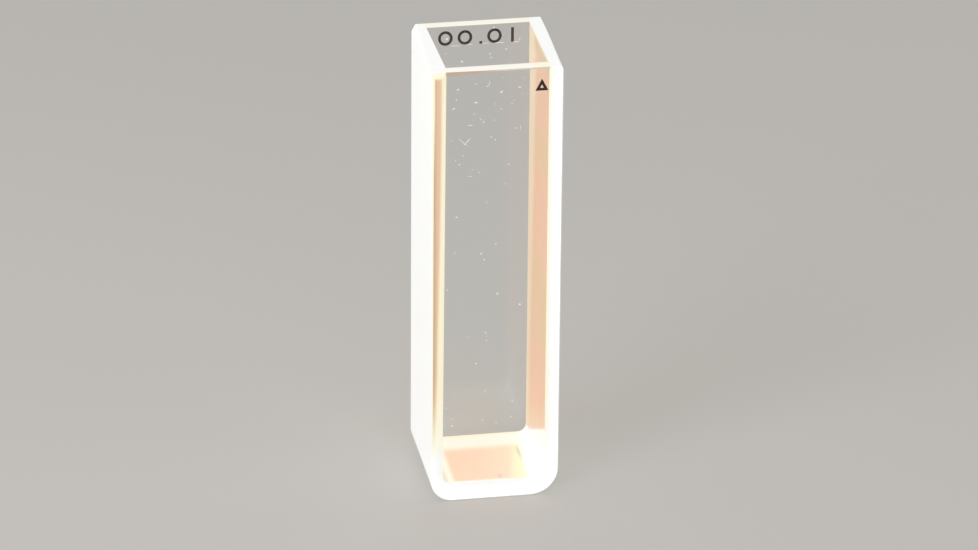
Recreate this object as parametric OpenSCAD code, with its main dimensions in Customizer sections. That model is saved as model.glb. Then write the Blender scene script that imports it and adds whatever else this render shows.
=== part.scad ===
// Square glass sample cell with a 10 mm light path. A U-shaped frame of ground glass makes both
// sides and the floor. Two clear windows are fused over its front and rear ends and close the cell.
// The origin is the centre of the resting face, +Z points out of the mouth, and light runs along Y.

/* [Cavity] */
// Light path, from the inside of one window to the inside of the other
path_len = 10; // [5:0.5:50]
// Clear width between the two sides
inside_w = 10; // [8:0.5:20]
// Radius where the sides run into the floor
inner_r = 0.8; // [0.3:0.1:3]

/* [Glass] */
// Height from the resting face to the rim
cell_h = 45; // [20:1:80]
// Thickness of each side of the frame
side_t = 1.25; // [0.8:0.05:3]
// Thickness of the floor
floor_t = 1.55; // [1:0.05:5]
// Thickness of each window
window_t = 1.25; // [0.8:0.05:3]
// Radius of the left outer bottom corner
left_r = 2.1; // [0.5:0.1:4.5]
// Radius of the right outer bottom corner
right_r = 2.8; // [0.5:0.1:4.5]

/* [Ground edges] */
// Width of the arris that breaks the outer edge of each window, all the way round
arris = 0.12; // [0.05:0.01:0.3]
// Depth of the rim bevel on the front, at its deep left end
front_bevel = 0.4; // [0.2:0.05:1.5]
// Depth of the rim bevel on the right, at its deep front end
right_bevel = 0.4; // [0.2:0.05:1.5]
// Depth of the rim bevel on the rear, at its deep right end
rear_bevel = 0.25; // [0.2:0.05:1.5]
// Depth of the rim bevel on the left, at its deep rear end
left_bevel = 0.75; // [0.2:0.05:1.5]
// Slope of the rim bevels, measured from the level rim
bevel_slope = 60; // [40:1:70]
// Length of each rim bevel, from its deep end to the point where it runs out
bevel_run = 9; // [4:0.5:11]

/* [Hidden] */
$fn = 96;

cell_w = inside_w + 2 * side_t;
cell_d = path_len + 2 * window_t;
// How far a cutter reaches past the glass
over = 1;

// Upright outline, centred on X, with a flat top and two round bottom corners
module foot_outline(w, h, r_left, r_right) {
    translate([-w / 2 + r_left, 0]) square([w - r_left - r_right, h]);
    translate([-w / 2, r_left]) square([w / 2, h - r_left]);
    translate([0, r_right]) square([w / 2, h - r_right]);
    translate([-w / 2 + r_left, r_left]) circle(r_left);
    translate([w / 2 - r_right, r_right]) circle(r_right);
}

// Extrudes an upright outline along Y, over a length t from y
module slab(y, t) {
    translate([0, y + t, 0]) rotate([90, 0, 0]) linear_extrude(t) children();
}

// Section of the arris cutter: X points out of the edge, and Y points into the glass
module arris_section() {
    polygon([[-arris, -over], [over, -over], [over, arris], [0, arris], [-arris, 0]]);
}

// Cuts the arris up the right side of a window and round its bottom corner
module side_arris(r) {
    translate([cell_w / 2, 0, r]) linear_extrude(cell_h) arris_section();
    translate([cell_w / 2 - r, 0, r]) rotate([-90, 0, 0])
        rotate_extrude(angle = 90) translate([r, 0]) arris_section();
}

// Cuts the arris along the outline of a window whose outer face lies at Y = 0
module arris_cutter() {
    flat_w = cell_w - left_r - right_r;
    side_arris(right_r);
    mirror([1, 0, 0]) side_arris(left_r);
    translate([-cell_w / 2 + left_r, 0, 0]) rotate([0, 90, 0]) linear_extrude(flat_w) arris_section();
    translate([cell_w / 2 + over, 0, cell_h]) rotate([0, -90, 0])
        linear_extrude(cell_w + 2 * over) arris_section();
}

// Block beyond the plane that meets the three edges of a corner at run, inward and down from it
module corner_cutter(run, inward, down) {
    normal = [-1 / run, -1 / inward, 1 / down];
    reach = 2 * (run + down);
    translate([0, 0, -down])
        rotate([0, acos(normal.z / norm(normal)), atan2(normal.y, normal.x)])
            translate([-reach / 2, -reach / 2, 0]) cube(reach);
}

// The four rim bevels. Each is deep at one corner and runs out before the next, anticlockwise
module rim_bevels() {
    corners = [[-1, -1], [1, -1], [1, 1], [-1, 1]];
    depths = [front_bevel, right_bevel, rear_bevel, left_bevel];
    for (i = [0:3])
        translate([corners[i].x * cell_w / 2, corners[i].y * cell_d / 2, cell_h]) rotate(90 * i)
            corner_cutter(bevel_run, depths[i] / tan(bevel_slope), depths[i]);
}

// Window plate in its front place, before the rim is ground
module window_plate() {
    difference() {
        slab(-cell_d / 2, window_t) foot_outline(cell_w, cell_h, left_r, right_r);
        translate([0, -cell_d / 2, 0]) arris_cutter();
    }
}

module frosted_frame() {
    color([0.95, 0.92, 0.87]) difference() {
        slab(-path_len / 2, path_len) difference() {
            foot_outline(cell_w, cell_h, left_r, right_r);
            translate([0, floor_t]) foot_outline(inside_w, cell_h, inner_r, inner_r);
        }
        rim_bevels();
    }
}

module front_window() {
    color([0.86, 0.93, 0.95, 0.35]) difference() {
        window_plate();
        rim_bevels();
    }
}

module rear_window() {
    color([0.86, 0.93, 0.95, 0.35]) difference() {
        mirror([0, 1, 0]) window_plate();
        rim_bevels();
    }
}

frosted_frame();
front_window();
rear_window();
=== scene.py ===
import bpy
import math
from mathutils import Matrix, Vector


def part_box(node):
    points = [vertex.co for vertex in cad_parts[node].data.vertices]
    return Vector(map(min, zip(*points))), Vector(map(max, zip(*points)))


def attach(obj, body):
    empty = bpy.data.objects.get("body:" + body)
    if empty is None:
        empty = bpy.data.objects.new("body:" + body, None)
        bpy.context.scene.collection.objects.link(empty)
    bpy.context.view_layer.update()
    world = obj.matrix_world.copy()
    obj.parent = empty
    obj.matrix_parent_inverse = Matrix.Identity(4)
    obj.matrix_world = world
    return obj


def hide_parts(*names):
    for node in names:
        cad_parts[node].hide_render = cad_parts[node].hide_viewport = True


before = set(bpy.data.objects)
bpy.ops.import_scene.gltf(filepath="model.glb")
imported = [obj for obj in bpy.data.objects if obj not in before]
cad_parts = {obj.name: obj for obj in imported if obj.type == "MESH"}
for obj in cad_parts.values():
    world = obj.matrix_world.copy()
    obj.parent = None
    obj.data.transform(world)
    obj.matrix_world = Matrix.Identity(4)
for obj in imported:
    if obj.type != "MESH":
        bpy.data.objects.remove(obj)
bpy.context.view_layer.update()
mm = 0.001

# the cell's own sizes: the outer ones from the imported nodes, the inner ones as in the CAD
frameLow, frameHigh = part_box("frosted_frame")
cell = {
    "halfWidth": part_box("front_window")[1].x,
    "height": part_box("front_window")[1].z,
    "frontFace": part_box("front_window")[0].y,
    "rearFace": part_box("rear_window")[1].y,
    "frontSeam": frameLow.y,
    "rearSeam": frameHigh.y,
    "innerHalf": 5.0 * mm,
    "floorTop": 1.55 * mm,
    "footRounds": (2.1 * mm, 2.8 * mm),  # left and right
    "innerRound": 0.8 * mm,
    "inkRise": 0.004 * mm,  # how far the windows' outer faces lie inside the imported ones, under the ink
}


# camera, lamps, world and floor

cameraView = {
    "azimuth": -10.2,      # degrees round the cell, 0 looks along +Y
    "elevation": 24.9,
    "roll": 0.48,
    "distance": 550.0 * mm,
    "across": 0.36 * mm,   # how far the view is moved sideways and up from the origin
    "up": 19.02 * mm,
    "lens": 206.5,         # millimetres, as the sensor's width is
    "sensor": 36,
    "clip": (0.01, 20),    # metres
}

studio = {
    "floorSide": 1.6,
    "floorDrop": 0.02 * mm,  # keeps the floor off the underside of the glass
    "floorTint": (0.48, 0.466, 0.447, 1),
    "floorRoughness": 0.8,
    "floorShine": 0.2,
    "worldTint": (1.0, 0.99, 0.975, 1),
    "worldLevel": 0.5,
    "lamps": [              # name, place, aim and side length in metres, watts
        ("keyLamp", (-0.545, -0.40, 0.46), (0, 0, 0.02), 0.40, 5.95),
        ("fillLamp", (0.50, -0.28, 0.44), (0, 0, 0.02), 0.40, 0.6),
        ("backLamp", (0.55, 0.25, 0.18), (0, 0, 0.02), 0.40, 0.7),
    ],
}


def addCamera():
    azimuth, elevation, roll = (math.radians(cameraView[key]) for key in ("azimuth", "elevation", "roll"))
    away = Vector((math.sin(azimuth) * math.cos(elevation),
                   -math.cos(azimuth) * math.cos(elevation), math.sin(elevation)))
    right = Vector((0, 0, 1)).cross(away).normalized()
    up = away.cross(right)
    place = away * cameraView["distance"] + right * cameraView["across"] + up * cameraView["up"]
    bpy.ops.object.camera_add(location=place)
    camera = bpy.context.object
    camera.name = "viewCamera"
    axes = Matrix((right, up, away)).transposed().to_4x4()
    camera.matrix_world = Matrix.Translation(place) @ axes @ Matrix.Rotation(roll, 4, "Z")
    camera.data.lens = cameraView["lens"]
    camera.data.sensor_width = cameraView["sensor"]
    camera.data.clip_start, camera.data.clip_end = cameraView["clip"]
    bpy.context.scene.camera = camera


def addLamp(name, place, aim, side, watts):
    bpy.ops.object.light_add(type="AREA", location=place)
    lamp = bpy.context.object
    lamp.name = name
    lamp.rotation_euler = (Vector(place) - Vector(aim)).to_track_quat("Z", "Y").to_euler()
    lamp.data.size = side
    lamp.data.energy = watts


def addWorld():
    world = bpy.data.worlds.new("softRoom")
    bpy.context.scene.world = world
    world.use_nodes = True
    back = world.node_tree.nodes["Background"]
    back.inputs["Color"].default_value = studio["worldTint"]
    back.inputs["Strength"].default_value = studio["worldLevel"]


def addFloor():
    bpy.ops.mesh.primitive_plane_add(size=studio["floorSide"], location=(0, 0, -studio["floorDrop"]))
    floor = bpy.context.object
    floor.name = "floor"
    mat = bpy.data.materials.new("paleTable")
    mat.use_nodes = True
    surface = mat.node_tree.nodes["Principled BSDF"]
    surface.inputs["Base Color"].default_value = studio["floorTint"]
    surface.inputs["Roughness"].default_value = studio["floorRoughness"]
    surface.inputs["Specular IOR Level"].default_value = studio["floorShine"]
    floor.data.materials.append(mat)


addCamera()
for lampRow in studio["lamps"]:
    addLamp(*lampRow)
addWorld()
addFloor()
bpy.context.scene.view_settings.view_transform = "Standard"
print("camera, lamps and floor are set")


# modelling helpers

samePlace = 1e-6        # metres within which two values count as one place
mergeWithin = 1e-7      # metres within which two corners become one
cutWithin = 1e-8        # metres within which a corner counts as lying on a cutting plane
smoothEdges = 15        # degrees up to which an edge is shaded smooth
flatWeight = 100        # how strongly a large face keeps its shading flat


def deselectAll():
    bpy.ops.object.select_all(action="DESELECT")


def makeActive(*pieces):
    deselectAll()
    for piece in pieces:
        piece.select_set(True)
    bpy.context.view_layer.objects.active = pieces[0]


def applyPlace(piece):
    makeActive(piece)
    bpy.ops.object.transform_apply(location=True, rotation=True, scale=True)


def addBlock(name, low, high):
    deselectAll()
    low, high = Vector(low), Vector(high)
    bpy.ops.mesh.primitive_cube_add(size=1, location=(low + high) / 2)
    block = bpy.context.object
    block.name = name
    block.scale = high - low
    applyPlace(block)
    return block


def near(value, target):
    return abs(value - target) < samePlace


def pickEdges(piece, test):
    makeActive(piece)
    bpy.ops.object.mode_set(mode="EDIT")
    bpy.ops.mesh.select_mode(type="EDGE")
    bpy.ops.mesh.select_all(action="DESELECT")
    bpy.ops.object.mode_set(mode="OBJECT")
    corners = piece.data.vertices
    for edge in piece.data.edges:
        edge.select = test(*(corners[i].co for i in edge.vertices))
    bpy.ops.object.mode_set(mode="EDIT")


def roundEdges(piece, test, radius, segments):
    pickEdges(piece, test)
    bpy.ops.mesh.bevel(offset=radius, segments=segments, affect="EDGES", clamp_overlap=False)
    bpy.ops.object.mode_set(mode="OBJECT")


def roundFoot(piece, bottom, radii, segments):
    for side, radius in zip((-1, 1), radii):
        roundEdges(piece, lambda a, b: near(a.z, bottom) and near(b.z, bottom) and near(a.x, b.x)
                   and a.x * side > 0, radius, segments)


def cutAway(piece, tool):
    makeActive(piece)
    cut = piece.modifiers.new("cut", "BOOLEAN")
    cut.object, cut.operation, cut.solver = tool, "DIFFERENCE", "EXACT"
    bpy.ops.object.modifier_apply(modifier=cut.name)
    bpy.data.objects.remove(tool)


rim = {
    "depths": (0.4 * mm, 0.4 * mm, 0.25 * mm, 0.75 * mm),  # front, right, rear and left, at the deep end
    "slope": 60,            # degrees from the level rim
    "run": 9.0 * mm,        # from the deep end to where a bevel runs out
}


def grindRim(piece):
    side = cell["halfWidth"]
    for turn, depth in enumerate(rim["depths"]):
        spin = Matrix.Rotation(math.radians(90 * turn), 3, "Z")
        corner = spin @ Vector((-side, -side, 0))
        inward = depth / math.tan(math.radians(rim["slope"]))
        normal = spin @ Vector((-1 / rim["run"], -1 / inward, 1 / depth))
        makeActive(piece)
        bpy.ops.object.mode_set(mode="EDIT")
        bpy.ops.mesh.select_all(action="SELECT")
        bpy.ops.mesh.bisect(plane_co=(corner.x, corner.y, cell["height"] - depth),
                            plane_no=normal.normalized(), use_fill=True,
                            clear_outer=True, threshold=cutWithin)
        bpy.ops.object.mode_set(mode="OBJECT")


def closePiece(piece, smoothUpTo=smoothEdges):
    makeActive(piece)
    bpy.ops.object.mode_set(mode="EDIT")
    bpy.ops.mesh.select_all(action="SELECT")
    bpy.ops.mesh.remove_doubles(threshold=mergeWithin)
    bpy.ops.mesh.normals_make_consistent(inside=False)
    bpy.ops.object.mode_set(mode="OBJECT")
    bpy.ops.object.shade_smooth_by_angle(angle=math.radians(smoothUpTo))
    flatten = piece.modifiers.new("flatten", "WEIGHTED_NORMAL")
    flatten.weight, flatten.keep_sharp = flatWeight, True
    bpy.ops.object.modifier_apply(modifier=flatten.name)


# the ground frame: both sides and the floor in one

frameShape = {
    "bedding": 0.012 * mm,  # how far its ends sink into the windows, so that no air shows in the seams
    "lean": 0.22 * mm,      # of the left wall's front edge, from foot to rim
    "uprightAt": 0.2,       # the share of the height at which that edge keeps its place
    "over": 1.0 * mm,       # how far the cavity's cutter reaches past the glass
    "footSteps": 20,
    "innerSteps": 14,
}


def makeFrame():
    side, height, inner = cell["halfWidth"], cell["height"], cell["innerHalf"]
    front, rear = cell["frontSeam"] - frameShape["bedding"], cell["rearSeam"] + frameShape["bedding"]
    body = addBlock("frostedFrame", (-side, front, 0), (side, rear, height))
    roundFoot(body, 0, cell["footRounds"], frameShape["footSteps"])
    over = frameShape["over"]
    cavity = addBlock("cavityTool", (-inner, front - over, cell["floorTop"]),
                      (inner, rear + over, height + over))
    roundFoot(cavity, cell["floorTop"], (cell["innerRound"],) * 2, frameShape["innerSteps"])
    cutAway(body, cavity)
    # the left wall leans a little: it is thicker at its front upper corner
    for corner in body.data.vertices:
        if near(corner.co.x, -inner) and near(corner.co.y, front):
            corner.co.x += frameShape["lean"] * (corner.co.z / height - frameShape["uprightAt"])
    grindRim(body)
    closePiece(body)
    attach(body, "root")
    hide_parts("frosted_frame")
    return body


frostedFrame = makeFrame()
print("frame is cut and ground")


# the windows: clear plates over the whole front and rear of the frame

windowShape = {
    "arris": 0.12 * mm,     # along the outer face, all the way round
    "arrisSteps": 2,
}


def makeWindow(name, node, outer, inner):
    side, height = cell["halfWidth"], cell["height"]
    outer -= math.copysign(cell["inkRise"], outer)
    plate = addBlock(name, (-side, min(outer, inner), 0), (side, max(outer, inner), height))
    roundFoot(plate, 0, cell["footRounds"], frameShape["footSteps"])
    roundEdges(plate, lambda a, b: near(a.y, outer) and near(b.y, outer),
               windowShape["arris"], windowShape["arrisSteps"])
    grindRim(plate)
    closePiece(plate)
    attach(plate, "root")
    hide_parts(node)
    return plate


frontWindow = makeWindow("frontWindow", "front_window", cell["frontFace"], cell["frontSeam"])
rearWindow = makeWindow("rearWindow", "rear_window", cell["rearFace"], cell["rearSeam"])
print("windows are made")


# printed marks: the path length on the back of the rear window, and a pointer on the front one

printing = {
    "inkDepth": 0.01 * mm,
    "inkBack": 0.0005 * mm,  # how far the ink stays inside the cell's own outer face
    "stroke": 0.27 * mm,
    "figureHeight": 1.5 * mm,
    "zeroWidth": 1.42 * mm,
    "zeroSides": 32,
    "figureMiddle": 43.45 * mm,
    "places": {"one": 3.5 * mm, "zeros": (1.75 * mm, -1.12 * mm, -3.02 * mm), "point": 0.42 * mm},
    "pointer": (4.15 * mm, 43.05 * mm),
    "pointerOval": (1.425 * mm, 1.615 * mm),  # width and height of the oval its corners lie on
    "pointerSides": 3,
}


def thicken(outline, inward):
    makeActive(outline)
    bpy.ops.object.mode_set(mode="EDIT")
    bpy.ops.mesh.select_all(action="SELECT")
    bpy.ops.mesh.extrude_region_move(TRANSFORM_OT_translate={"value": (0, inward, 0)})
    bpy.ops.object.mode_set(mode="OBJECT")
    closePiece(outline)


def ringOutline(name, x, z, y, width, height, stroke, corners):
    deselectAll()
    bpy.ops.mesh.primitive_circle_add(vertices=corners, radius=0.5, fill_type="NGON",
                                      location=(x, y, z), rotation=(math.radians(90), 0, 0))
    ring = bpy.context.object
    ring.name = name
    applyPlace(ring)
    bpy.ops.object.mode_set(mode="EDIT")
    bpy.ops.mesh.select_all(action="SELECT")
    bpy.ops.transform.resize(value=(width, 1, height), center_override=(x, y, z))
    bpy.ops.mesh.inset(thickness=stroke, use_even_offset=True)
    bpy.ops.mesh.delete(type="FACE")
    bpy.ops.object.mode_set(mode="OBJECT")
    return ring


def barOutline(name, x, z, y, width, height):
    deselectAll()
    bpy.ops.mesh.primitive_plane_add(size=1, location=(x, y, z), rotation=(math.radians(90), 0, 0))
    bar = bpy.context.object
    bar.name = name
    bar.scale = (width, height, 1)
    applyPlace(bar)
    return bar


def joinAll(name, parts):
    makeActive(*parts)
    bpy.ops.object.join()
    whole = bpy.context.object
    whole.name = name
    return whole


def makePathMark():
    y, ink, high = cell["rearFace"] - printing["inkBack"], printing["stroke"], printing["figureHeight"]
    z, places = printing["figureMiddle"], printing["places"]
    parts = [ringOutline("zero", x, z, y, printing["zeroWidth"], high, ink, printing["zeroSides"])
             for x in places["zeros"]]
    parts.append(barOutline("one", places["one"], z, y, ink, high))
    parts.append(barOutline("point", places["point"], z - (high - ink) / 2, y, ink, ink))
    mark = joinAll("pathMark", parts)
    thicken(mark, -printing["inkDepth"])
    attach(mark, "root")
    return mark


def makePointer():
    x, z = printing["pointer"]
    width, height = printing["pointerOval"]
    mark = ringOutline("pointerMark", x, z, cell["frontFace"] + printing["inkBack"],
                       width, height, printing["stroke"], printing["pointerSides"])
    thicken(mark, printing["inkDepth"])
    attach(mark, "root")
    return mark


pathMark = makePathMark()
pointerMark = makePointer()
print("marks are printed")


# dust, chips and short scratches on the inner faces of the windows

wear = {
    "thickness": 0.03 * mm,
    "subdivisions": 2,      # of the round pattern that each fleck is copied from
    "middle": 0.4,          # of a fleck, from the window's face, in thicknesses
    "smoothUpTo": 60,       # degrees
    "front": [              # x, z, length and width in mm, slant in degrees
        (0.22, 21.46, 0.22, 0.19, 56), (-4.63, 22.19, 0.18, 0.11, 89), (-3.71, 42.88, 0.32, 0.11, 32),
        (0.45, 42.39, 0.32, 0.19, 28), (-1.81, 14.20, 0.16, 0.13, 165), (2.20, 42.77, 0.34, 0.10, 7),
        (-0.80, 16.57, 0.16, 0.11, 91), (-4.09, 40.95, 0.31, 0.11, 34), (-1.96, 43.33, 0.16, 0.12, 0),
        (-2.01, 41.46, 0.41, 0.13, 157), (-2.50, 39.15, 0.47, 0.10, 170), (-1.07, 25.12, 0.15, 0.11, 90),
        (-0.50, 37.83, 0.16, 0.13, 41), (2.42, 20.18, 0.23, 0.18, 133), (-4.68, 9.61, 0.14, 0.11, 94),
        (1.67, 8.28, 0.15, 0.11, 170), (1.19, 34.91, 0.20, 0.11, 11), (0.03, 26.72, 0.16, 0.11, 75),
        (-4.13, 7.71, 0.20, 0.12, 111), (-1.62, 34.25, 0.14, 0.09, 142), (-1.53, 39.73, 0.32, 0.09, 129),
        (-1.23, 39.40, 0.22, 0.10, 125), (-0.11, 37.52, 0.14, 0.08, 1), (-1.38, 25.79, 0.24, 0.09, 24),
        (-3.18, 36.09, 0.13, 0.09, 138), (-3.90, 26.05, 0.14, 0.11, 140), (-0.13, 41.20, 0.14, 0.09, 0),
        (-3.77, 29.76, 0.23, 0.09, 15), (-2.61, 17.04, 0.11, 0.07, 71), (1.76, 9.94, 0.18, 0.09, 174),
        (-1.12, 8.14, 0.14, 0.09, 49), (0.45, 40.67, 0.14, 0.10, 95), (-3.53, 35.20, 0.14, 0.09, 50),
        (1.85, 38.61, 0.12, 0.07, 72), (0.23, 7.73, 0.27, 0.06, 161), (-0.90, 31.10, 0.14, 0.08, 134),
        (2.58, 43.67, 0.13, 0.07, 89), (-0.93, 11.22, 0.13, 0.08, 50), (-4.08, 8.41, 0.23, 0.06, 142),
        (0.61, 43.84, 0.14, 0.04, 146), (-3.85, 41.87, 0.18, 0.06, 8), (-3.21, 37.47, 1.33, 0.06, 137),
        (-2.74, 37.56, 0.86, 0.06, 48), (-3.06, 37.26, 0.20, 0.11, 160), (-0.70, 43.41, 0.39, 0.06, 99),
        (-0.85, 43.10, 0.42, 0.06, 33), (-2.14, 40.32, 0.14, 0.07, 20), (-0.18, 39.54, 0.16, 0.08, 10),
        (1.86, 38.61, 0.14, 0.10, 0), (2.30, 38.60, 0.50, 0.04, 92), (1.62, 41.47, 0.12, 0.07, 0),
        (2.50, 42.11, 0.14, 0.07, 150), (-4.27, 37.70, 0.14, 0.07, 30), (-2.52, 33.91, 0.40, 0.04, 170),
        (-2.28, 34.57, 0.16, 0.06, 20),
    ],
    "rear": [               # the last six are the faint line round the number's place
        (-3.00, 43.72, 0.26, 0.17, 20), (2.76, 42.33, 0.20, 0.10, 15), (1.18, 41.94, 0.26, 0.07, 100),
        (-1.54, 41.30, 0.28, 0.13, 150), (1.31, 41.54, 0.22, 0.06, 10), (-3.13, 42.21, 0.12, 0.08, 40),
        (1.55, 44.62, 0.16, 0.12, 60), (3.30, 36.80, 0.14, 0.09, 80), (-2.20, 31.20, 0.16, 0.09, 120),
        (2.70, 28.40, 0.14, 0.08, 35), (-3.60, 19.70, 0.15, 0.10, 160), (0.90, 12.60, 0.16, 0.09, 70),
        (-2.16, 42.96, 1.15, 0.045, 178), (-0.77, 43.01, 0.50, 0.05, 0), (0.81, 43.06, 0.75, 0.05, 2),
        (2.14, 43.04, 1.00, 0.045, 177), (3.70, 43.02, 0.70, 0.05, 1), (4.06, 43.30, 0.50, 0.04, 85),
    ],
}


def makeFlecks(name, rows, face, inward):
    deselectAll()
    bpy.ops.mesh.primitive_ico_sphere_add(subdivisions=wear["subdivisions"], radius=0.5)
    pattern = bpy.context.object
    parts = []
    for x, z, length, width, slant in rows:
        fleck = pattern.copy()
        fleck.data = pattern.data.copy()
        bpy.context.collection.objects.link(fleck)
        fleck.location = (x * mm, face + inward * wear["thickness"] * wear["middle"], z * mm)
        fleck.rotation_euler = (0, -math.radians(slant), 0)
        fleck.scale = (length * mm, wear["thickness"], width * mm)
        parts.append(fleck)
    bpy.data.objects.remove(pattern)
    whole = joinAll(name, parts)
    applyPlace(whole)
    closePiece(whole, wear["smoothUpTo"])
    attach(whole, "root")
    return whole


frontFlecks = makeFlecks("frontFlecks", wear["front"], cell["frontSeam"], 1)
rearFlecks = makeFlecks("rearFlecks", wear["rear"], cell["rearSeam"], -1)
print("flecks are scattered")


# material helpers

mixSockets = {"under": 6, "over": 7, "result": 2}  # where a Mix node keeps its colours


def newMaterial(name):
    mat = bpy.data.materials.new(name)
    mat.use_nodes = True
    return mat, mat.node_tree, mat.node_tree.nodes["Principled BSDF"]


def feed(tree, source, socket):
    if isinstance(source, bpy.types.NodeSocket):
        tree.links.new(source, socket)
    else:
        socket.default_value = source


# rises smoothly from 0 at start to its most at full, whichever of the two is larger
def fade(tree, value, start, full, most=1.0):
    step = tree.nodes.new("ShaderNodeMapRange")
    step.interpolation_type = "SMOOTHSTEP"
    step.inputs["From Min"].default_value = start
    step.inputs["From Max"].default_value = full
    step.inputs["To Max"].default_value = most
    tree.links.new(value, step.inputs["Value"])
    return step.outputs["Result"]


def sums(tree, operation, a, b=0.0):
    made = tree.nodes.new("ShaderNodeMath")
    made.operation = operation
    feed(tree, a, made.inputs[0])
    feed(tree, b, made.inputs[1])
    return made.outputs[0]


def plusShare(tree, value, other, share):
    return sums(tree, "ADD", value, sums(tree, "MULTIPLY", other, share))


def allOf(tree, *masks):
    whole = masks[0]
    for mask in masks[1:]:
        whole = sums(tree, "MULTIPLY", whole, mask)
    return whole


def tintOver(tree, mask, under, over, mode="MIX"):
    made = tree.nodes.new("ShaderNodeMix")
    made.data_type, made.blend_type = "RGBA", mode
    feed(tree, mask, made.inputs["Factor"])
    feed(tree, under, made.inputs[mixSockets["under"]])
    feed(tree, over, made.inputs[mixSockets["over"]])
    return made.outputs[mixSockets["result"]]


def noise(tree, vector, scale, detail, rough=0.5):
    made = tree.nodes.new("ShaderNodeTexNoise")
    feed(tree, scale, made.inputs["Scale"])
    made.inputs["Detail"].default_value = detail
    made.inputs["Roughness"].default_value = rough
    tree.links.new(vector, made.inputs["Vector"])
    return made.outputs["Fac"]


def newGroup(name, inputs, outputs):
    tree = bpy.data.node_groups.new(name, "ShaderNodeTree")
    for label, kind in inputs:
        tree.interface.new_socket(label, in_out="INPUT", socket_type="NodeSocket" + kind)
    for label, kind in outputs:
        tree.interface.new_socket(label, in_out="OUTPUT", socket_type="NodeSocket" + kind)
    return tree, tree.nodes.new("NodeGroupInput"), tree.nodes.new("NodeGroupOutput")


def useGroup(tree, group, **values):
    made = tree.nodes.new("ShaderNodeGroup")
    made.node_tree = group
    for label, value in values.items():
        feed(tree, value, made.inputs[label])
    return made.outputs


# where a point lies in the cell, in millimetres
def cellPlaceGroup():
    outputs = [("Place", "Vector"), ("X", "Float"), ("Y", "Float"), ("Z", "Float")]
    tree, _, out = newGroup("cellPlace", [], outputs)
    where = tree.nodes.new("ShaderNodeTexCoord")
    inMm = tree.nodes.new("ShaderNodeVectorMath")
    inMm.operation = "SCALE"
    inMm.inputs["Scale"].default_value = 1 / mm
    tree.links.new(where.outputs["Object"], inMm.inputs[0])
    split = tree.nodes.new("ShaderNodeSeparateXYZ")
    tree.links.new(inMm.outputs[0], split.inputs[0])
    tree.links.new(inMm.outputs[0], out.inputs["Place"])
    for axis in "XYZ":
        tree.links.new(split.outputs[axis], out.inputs[axis])
    return tree


groundGrainLook = {
    "detail": 3,
    "cloudScale": 0.35,
    "noiseMean": 0.5,
    "speckle": 0.05,        # how much the grain changes the tone
    "meanTone": 0.985,
    "leastRough": 0.4,
    "roughShare": 0.25,     # how much the grain adds to the roughness
}


# fine grain and soft clouds of a ground face, with Place in millimetres
def groundGrainGroup():
    look = groundGrainLook
    tree, given, out = newGroup("groundGrain",
                                [("Place", "Vector"), ("Grain", "Float"), ("Clouds", "Float")],
                                [("Tone", "Float"), ("Rough", "Float"), ("Height", "Float")])
    place = given.outputs["Place"]
    fine = noise(tree, place, given.outputs["Grain"], look["detail"])
    cloud = noise(tree, place, look["cloudScale"], look["detail"])
    fineSwing = sums(tree, "SUBTRACT", fine, look["noiseMean"])
    cloudSwing = sums(tree, "SUBTRACT", cloud, look["noiseMean"])
    drift = sums(tree, "MULTIPLY", cloudSwing, given.outputs["Clouds"])
    speckle = sums(tree, "MULTIPLY", fineSwing, look["speckle"])
    tone = sums(tree, "ADD", sums(tree, "ADD", drift, speckle), look["meanTone"])
    tree.links.new(tone, out.inputs["Tone"])
    tree.links.new(plusShare(tree, look["leastRough"], fine, look["roughShare"]), out.inputs["Rough"])
    tree.links.new(fine, out.inputs["Height"])
    return tree


cellPlace = cellPlaceGroup()
groundGrain = groundGrainGroup()

# tones of the frame and the window edges: apart from white, the grey streak and the stain, all are painted
# light and shade: warm light and reflections from inside the cell, darker whites and painted glows
tints = {
    "white": (0.955, 0.965, 0.955, 1),
    "endWhite": (0.94, 0.935, 0.92, 1),
    "paleRim": (0.96, 0.94, 0.86, 1),
    "creamRim": (0.96, 0.93, 0.77, 1),
    "warmRim": (0.96, 0.92, 0.81, 1),
    "cream": (1.0, 0.84, 0.60, 1),
    "glow": (0.95, 0.985, 0.99, 1),
    "lemon": (0.97, 0.98, 0.85, 1),
    "floorLemon": (0.95, 1.0, 0.93, 1),
    "floorCream": (0.97, 0.96, 0.79, 1),
    "yellow": (0.97, 0.90, 0.65, 1),
    "peach": (0.975, 0.61, 0.405, 1),
    "beige": (0.88, 0.64, 0.375, 1),
    "rimBeige": (0.80, 0.64, 0.41, 1),
    "endCream": (1.0, 0.935, 0.715, 1),
    "endPeach": (0.80, 0.56, 0.40, 1),
    "endBeige": (0.765, 0.585, 0.385, 1),
    "tan": (0.59, 0.435, 0.30, 1),
    "floorPeach": (0.94, 0.75, 0.60, 1),
    "deepPeach": (0.93, 0.70, 0.555, 1),
    "pinkEdge": (0.47, 0.33, 0.255, 1),
    "tanEdge": (0.58, 0.49, 0.40, 1),
    "paleEdge": (0.84, 0.81, 0.65, 1),
    "nick": (0.68, 0.69, 0.565, 1),
    "stain": (0.80, 0.635, 0.51, 1),
}


# the axes that a mask can lie along, in millimetres. wide is the distance from the plane X = 0
def axesIn(tree):
    at = useGroup(tree, cellPlace)
    along = {axis.lower(): at[axis] for axis in "XYZ"}
    along["wide"] = sums(tree, "ABSOLUTE", along["x"])
    return at["Place"], along


# a limit is an axis, where the mask begins along it, where it is full and, below 1, its strength
def maskOf(tree, along, limits):
    return allOf(tree, *(fade(tree, along[axis], *span) for axis, *span in limits))


# each layer is a tint and the limits of the place it covers
def paint(tree, along, tone, layers):
    for tint, *limits in layers:
        tone = tintOver(tree, maskOf(tree, along, limits), tone, tints[tint])
    return tone


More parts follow.
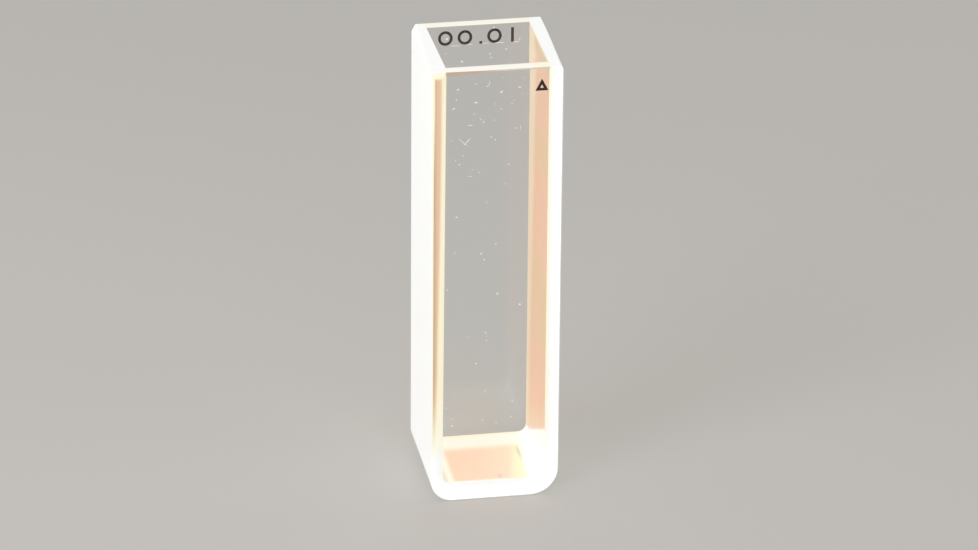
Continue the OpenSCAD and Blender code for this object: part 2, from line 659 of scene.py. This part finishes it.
# shadow rays, and others if named, go on through a surface, as light does through the real cell
def letLightThrough(tree, surface, share, rays=("Is Shadow Ray",)):
    path = tree.nodes.new("ShaderNodeLightPath")
    passing = tree.nodes.new("ShaderNodeBsdfTransparent")
    passing.inputs["Color"].default_value = share
    last = surface
    for ray in rays:
        mix = tree.nodes.new("ShaderNodeMixShader")
        tree.links.new(path.outputs[ray], mix.inputs[0])
        tree.links.new(last.outputs[0], mix.inputs[1])
        tree.links.new(passing.outputs[0], mix.inputs[2])
        last = mix
    tree.links.new(last.outputs[0], tree.nodes["Material Output"].inputs["Surface"])


glassLook = {
    "bending": 1.46,        # refractive index
    "polishedRough": 0.07,
    "bumpStrength": 0.15,
    "bumpDepth": 0.01 * mm,
    "glowShare": 0.2,       # the share of light that scatters under a ground face
    "glowRadii": (1.0, 0.9, 0.8),
    "glowDepth": 0.45 * mm,
}


def finishGround(tree, surface, place, look, colour, polished=0.0):
    grain = useGroup(tree, groundGrain, Place=place, Grain=look["grain"], Clouds=look["clouds"])
    shade = tree.nodes.new("ShaderNodeCombineColor")
    for channel in ("Red", "Green", "Blue"):
        tree.links.new(grain["Tone"], shade.inputs[channel])
    feed(tree, tintOver(tree, 1.0, colour, shade.outputs[0], "MULTIPLY"), surface.inputs["Base Color"])
    smooth = tree.nodes.new("ShaderNodeMix")
    feed(tree, polished, smooth.inputs["Factor"])
    feed(tree, grain["Rough"], smooth.inputs["A"])
    smooth.inputs["B"].default_value = glassLook["polishedRough"]
    tree.links.new(smooth.outputs[0], surface.inputs["Roughness"])
    bump = tree.nodes.new("ShaderNodeBump")
    bump.inputs["Strength"].default_value = glassLook["bumpStrength"]
    bump.inputs["Distance"].default_value = glassLook["bumpDepth"]
    tree.links.new(sums(tree, "MULTIPLY", grain["Height"], sums(tree, "SUBTRACT", 1.0, polished)),
                   bump.inputs["Height"])
    tree.links.new(bump.outputs[0], surface.inputs["Normal"])
    surface.inputs["IOR"].default_value = glassLook["bending"]
    surface.inputs["Subsurface Weight"].default_value = glassLook["glowShare"]
    surface.inputs["Subsurface Radius"].default_value = glassLook["glowRadii"]
    surface.inputs["Subsurface Scale"].default_value = glassLook["glowDepth"]
    letLightThrough(tree, surface, look["lightThrough"])


# the ground glass of the frame: white, with painted light and shade whose tones lie by their place in the
# cell

innerHalf, floorTop, seam = (cell[size] / mm for size in ("innerHalf", "floorTop", "rearSeam"))
atEnds = ("deep", seam + 0.002, seam + 0.008)
aboveFoot = ("z", 3.8, 6.0)
underBevel = ("z", 44.20, 43.88)
underTop = ("z", 44.995, 44.985)

frameLook = {
    "grain": 9.0,
    "clouds": 0.03,
    "lightThrough": (0.94, 0.93, 0.91, 1),
    "slants": {             # slanting axes: one axis, and another with the share of it that is added
        "seamward": ("y", "z", 0.05),
        "footward": ("z", "y", 0.475),
        "aslant": ("x", "y", -0.18),
        "glowward": ("x", "y", -0.08),
    },
    "mottling": (0.4, 3),   # scale and detail of the noise
    "mottleReach": 6.0,     # how far it moves the bands of the walls down at most, in mm
    "lowDown": ("z", 40.0, 10.0),
    "narrowing": 0.32,      # how much the peach band on an end loses low down, in mm
    "inside": [("wide", innerHalf + 0.30, innerHalf + 0.29), ("z", floorTop - 0.04, floorTop - 0.01),
               ("deep", seam + 0.008, seam + 0.002), underTop],
    # inner walls, all painted light and shade: peach with beige bands, cream at the seams, beige and
    # yellow at the rim, and a painted glow, white low down, where the foot glows
    "walls": [
        ("beige", ("drift", 13.0, 20.0), ("drift", 27.5, 25.0)),
        ("beige", ("drift", 34.5, 36.0), ("drift", 40.5, 39.0)),
        ("cream", ("seamward", 2.9, 4.9)),
        ("cream", ("y", -4.7, -4.95)),
        ("rimBeige", ("z", 42.6, 44.2), ("y", 3.2, 1.2)),
        ("yellow", ("z", 44.60, 44.85)),
        ("cream", ("footward", 7.5, 4.8, 0.4)),
        ("glow", ("footward", 4.65, 4.05)),
    ],
    # floor, all painted light and reflections: a peach field in a pale border, which is cream at the
    # rear and left, yellow towards the front right, and a painted glow along the right wall
    "creamRear": [("y", 4.1, 5.0)],
    "creamLeft": [("x", -3.2, -5.2)],
    "border": [
        ("floorLemon", ("x", -4.55, -4.8)),
        ("yellow", ("x", -3.0, 3.0), ("y", 2.6, 1.4)),
        ("glow", ("glowward", 3.3, 4.1)),
    ],
    "field": [("x", -4.15, -3.5), ("aslant", 3.35, 2.1), ("y", 2.9, 1.2), ("y", -4.95, -4.6)],
    "fieldTones": [("deepPeach", ("x", 1.5, -3.5))],
    # a grey streak and a stain on the floor
    "spots": [
        ("nick", ("x", 3.28, 3.36), ("x", 3.70, 3.54), ("y", -1.9, 0.4), ("y", 2.6, 0.9)),
        ("stain", ("x", 0.40, 0.66), ("x", 1.10, 0.86), ("y", -4.9, -4.3), ("y", -3.5, -4.1)),
    ],
    "floor": [("z", floorTop + 0.7, floorTop + 0.4)],
    # ends, painted light and shade: the front left and rear right ones are cream, with a peach band that
    # narrows and turns beige towards the foot and a tan line outside it, and the other two are a darker
    # white with a cream line
    "tonedEnds": [("sameSide", 20, 25)],
    "endTones": [("endCream", ("z", 5.0, 12.5))],
    "band": [("inward", 5.08, 5.46), ("z", 5.5, 15.0), underBevel],
    "bandTones": [("endBeige", ("z", 26.0, 16.0))],
    "endLines": [
        ("tan", ("wide", 5.60, 5.96), ("wide", 6.10, 5.94), ("z", 3.8, 13.0), underBevel),
        ("endCream", ("wide", 5.80, 6.0), ("z", 33.0, 41.5)),
    ],
    "whiteEndLines": [("endCream", atEnds, ("z", 6.2, 7.0), ("wide", 5.32, 5.02))],
    "polished": [("z", floorTop + 0.8, floorTop + 1.0)],
}


def frameAxes(tree):
    place, along = axesIn(tree)
    along["deep"] = sums(tree, "ABSOLUTE", along["y"])
    along["sameSide"] = sums(tree, "MULTIPLY", along["x"], along["y"])
    for slant, (axis, other, share) in frameLook["slants"].items():
        along[slant] = plusShare(tree, along[axis], along[other], share)
    mottling = noise(tree, place, *frameLook["mottling"])
    along["drift"] = plusShare(tree, along["z"], mottling, frameLook["mottleReach"])
    lowDown = maskOf(tree, along, [frameLook["lowDown"]])
    along["inward"] = plusShare(tree, along["wide"], lowDown, -frameLook["narrowing"])
    return place, along


# painted light and reflections inside the frame: the walls, and on the floor a field in its border, with the
# grey streak and the stain over it
def innerTone(tree, along):
    walls = paint(tree, along, tints["peach"], frameLook["walls"])
    creamPart = sums(tree, "MAXIMUM", maskOf(tree, along, frameLook["creamRear"]),
                     maskOf(tree, along, frameLook["creamLeft"]))
    border = tintOver(tree, creamPart, tints["floorLemon"], tints["floorCream"])
    border = paint(tree, along, border, frameLook["border"])
    field = paint(tree, along, tints["floorPeach"], frameLook["fieldTones"])
    floor = tintOver(tree, maskOf(tree, along, frameLook["field"]), border, field)
    floor = paint(tree, along, floor, frameLook["spots"])
    return tintOver(tree, maskOf(tree, along, frameLook["floor"]), walls, floor)


# painted light and shade on the outside of the frame: the ends are a darker white with a painted glow low
# down, and the front left and rear right ones are toned
def outerTone(tree, along):
    ends, high = maskOf(tree, along, [atEnds]), maskOf(tree, along, [aboveFoot])
    endTone = paint(tree, along, tints["lemon"], frameLook["endTones"])
    band = paint(tree, along, tints["endPeach"], frameLook["bandTones"])
    endTone = tintOver(tree, maskOf(tree, along, frameLook["band"]), endTone, band)
    endTone = paint(tree, along, endTone, frameLook["endLines"])
    outer = tintOver(tree, ends, tints["white"], tintOver(tree, high, tints["glow"], tints["endWhite"]))
    outer = paint(tree, along, outer, frameLook["whiteEndLines"])
    toned = allOf(tree, ends, high, maskOf(tree, along, frameLook["tonedEnds"]))
    return tintOver(tree, toned, outer, endTone)


def frameGlass():
    mat, tree, surface = newMaterial("frameGlass")
    place, along = frameAxes(tree)
    inside = maskOf(tree, along, frameLook["inside"])
    tone = tintOver(tree, inside, outerTone(tree, along), innerTone(tree, along))
    polished = allOf(tree, inside, maskOf(tree, along, frameLook["polished"]))
    finishGround(tree, surface, place, frameLook, tone, polished)
    return mat


# the ground edges of the windows: foot, sides, rim, bevels and arris, white with painted light and shade

edgeLook = {
    "grain": 9.0,
    "clouds": 0.03,
    "lightThrough": (0.97, 0.97, 0.96, 1),
    # painted shade: a pale line down the front left arris, above the foot
    "corner": [("paleEdge", ("x", -6.1, -6.13), ("y", -6.1, -6.13), aboveFoot)],
    # the windows' tops, painted shade and warm painted light: pale, warm on the rear one, cream at the front
    # one's right, and white over the side walls
    "top": [("z", 44.985, 44.995)],
    "topTones": [
        ("warmRim", ("y", 0, 1)),
        ("creamRim", ("y", 1, 0), ("x", 3.0, 3.6)),
        ("white", ("wide", 4.9, 5.4)),
    ],
    # painted light on the bevel and arris along the front rim: pale over the left side, then pink, running
    # out to tan, and white over the right side
    "facet": [("y", -5.95, -6.05), ("z", 44.2, 44.3), underTop],
    "facetTones": [
        ("pinkEdge", ("x", -5.1, -4.9)),
        ("tanEdge", ("x", -2.0, 1.0)),
        ("white", ("x", 4.8, 5.1)),
    ],
}


def edgeGlass():
    mat, tree, surface = newMaterial("edgeGlass")
    place, along = axesIn(tree)
    tone = paint(tree, along, tints["white"], edgeLook["corner"])
    top = paint(tree, along, tints["paleRim"], edgeLook["topTones"])
    tone = tintOver(tree, maskOf(tree, along, edgeLook["top"]), tone, top)
    facet = paint(tree, along, tints["paleEdge"], edgeLook["facetTones"])
    tone = tintOver(tree, maskOf(tree, along, edgeLook["facet"]), tone, facet)
    finishGround(tree, surface, place, edgeLook, tone)
    return mat


# the polished faces, with faint smears, and a hazy film on the rear one round the printed number

windowLook = {
    "tint": (0.985, 0.988, 0.98, 1),
    "smears": (0.18, 4, 0.6),  # scale, detail and roughness of the noise
    "smearFrom": 0.5,
    "smearFull": 0.75,
    "smearRough": 0.03,
    "film": [("y", 6.1, 6.2), ("wide", 4.3, 4.2), ("z", 42.60, 42.66)],
    "filmRough": 0.22,
    "lightThrough": (0.97, 0.97, 0.97, 1),
    "facing": 0.999,        # how nearly a face looks along Y if it counts as polished
}


def clearGlass():
    look = windowLook
    mat, tree, surface = newMaterial("clearGlass")
    place, along = axesIn(tree)
    smears = fade(tree, noise(tree, place, *look["smears"]), look["smearFrom"], look["smearFull"])
    smeared = sums(tree, "MULTIPLY", smears, look["smearRough"])
    rough = plusShare(tree, smeared, maskOf(tree, along, look["film"]), look["filmRough"])
    feed(tree, rough, surface.inputs["Roughness"])
    surface.inputs["Base Color"].default_value = look["tint"]
    surface.inputs["IOR"].default_value = glassLook["bending"]
    surface.inputs["Transmission Weight"].default_value = 1.0
    letLightThrough(tree, surface, look["lightThrough"], ("Is Diffuse Ray", "Is Shadow Ray"))
    return mat


inkLook = {
    "full": (0.012, 0.010, 0.009, 1),
    "thin": (0.035, 0.03, 0.028, 1),
    "patches": (6.0, 3),    # scale and detail of the noise
    "thinFrom": 0.5,
    "thinFull": 0.8,
    "leastRough": 0.35,
    "roughShare": 0.3,
    "lightThrough": (1, 1, 1, 1),
}


def blackInk():
    look = inkLook
    mat, tree, surface = newMaterial("blackInk")
    patches = noise(tree, useGroup(tree, cellPlace)["Place"], *look["patches"])
    thin = fade(tree, patches, look["thinFrom"], look["thinFull"])
    feed(tree, tintOver(tree, thin, look["full"], look["thin"]), surface.inputs["Base Color"])
    feed(tree, plusShare(tree, look["leastRough"], patches, look["roughShare"]), surface.inputs["Roughness"])
    letLightThrough(tree, surface, look["lightThrough"])
    return mat


dustLook = {
    "dull": (0.80, 0.78, 0.70, 1),
    "bright": (0.97, 0.96, 0.93, 1),
    "patches": (3.0, 2),    # scale and detail of the noise
    "brightFrom": 0.35,
    "brightFull": 0.65,
    "roughness": 0.7,
}


def paleDust():
    look = dustLook
    mat, tree, surface = newMaterial("paleDust")
    patches = noise(tree, useGroup(tree, cellPlace)["Place"], *look["patches"])
    bright = fade(tree, patches, look["brightFrom"], look["brightFull"])
    feed(tree, tintOver(tree, bright, look["dull"], look["bright"]), surface.inputs["Base Color"])
    surface.inputs["Roughness"].default_value = look["roughness"]
    return mat


def dress(piece, *mats):
    piece.data.materials.clear()
    for mat in mats:
        piece.data.materials.append(mat)


clear, edges, ink, dust = clearGlass(), edgeGlass(), blackInk(), paleDust()
dress(frostedFrame, frameGlass())
for plate in (frontWindow, rearWindow):
    dress(plate, clear, edges)
    for face in plate.data.polygons:
        face.material_index = 0 if abs(face.normal.y) > windowLook["facing"] else 1
for mark in (pathMark, pointerMark):
    dress(mark, ink)
for flecks in (frontFlecks, rearFlecks):
    dress(flecks, dust)
print("materials are in place")
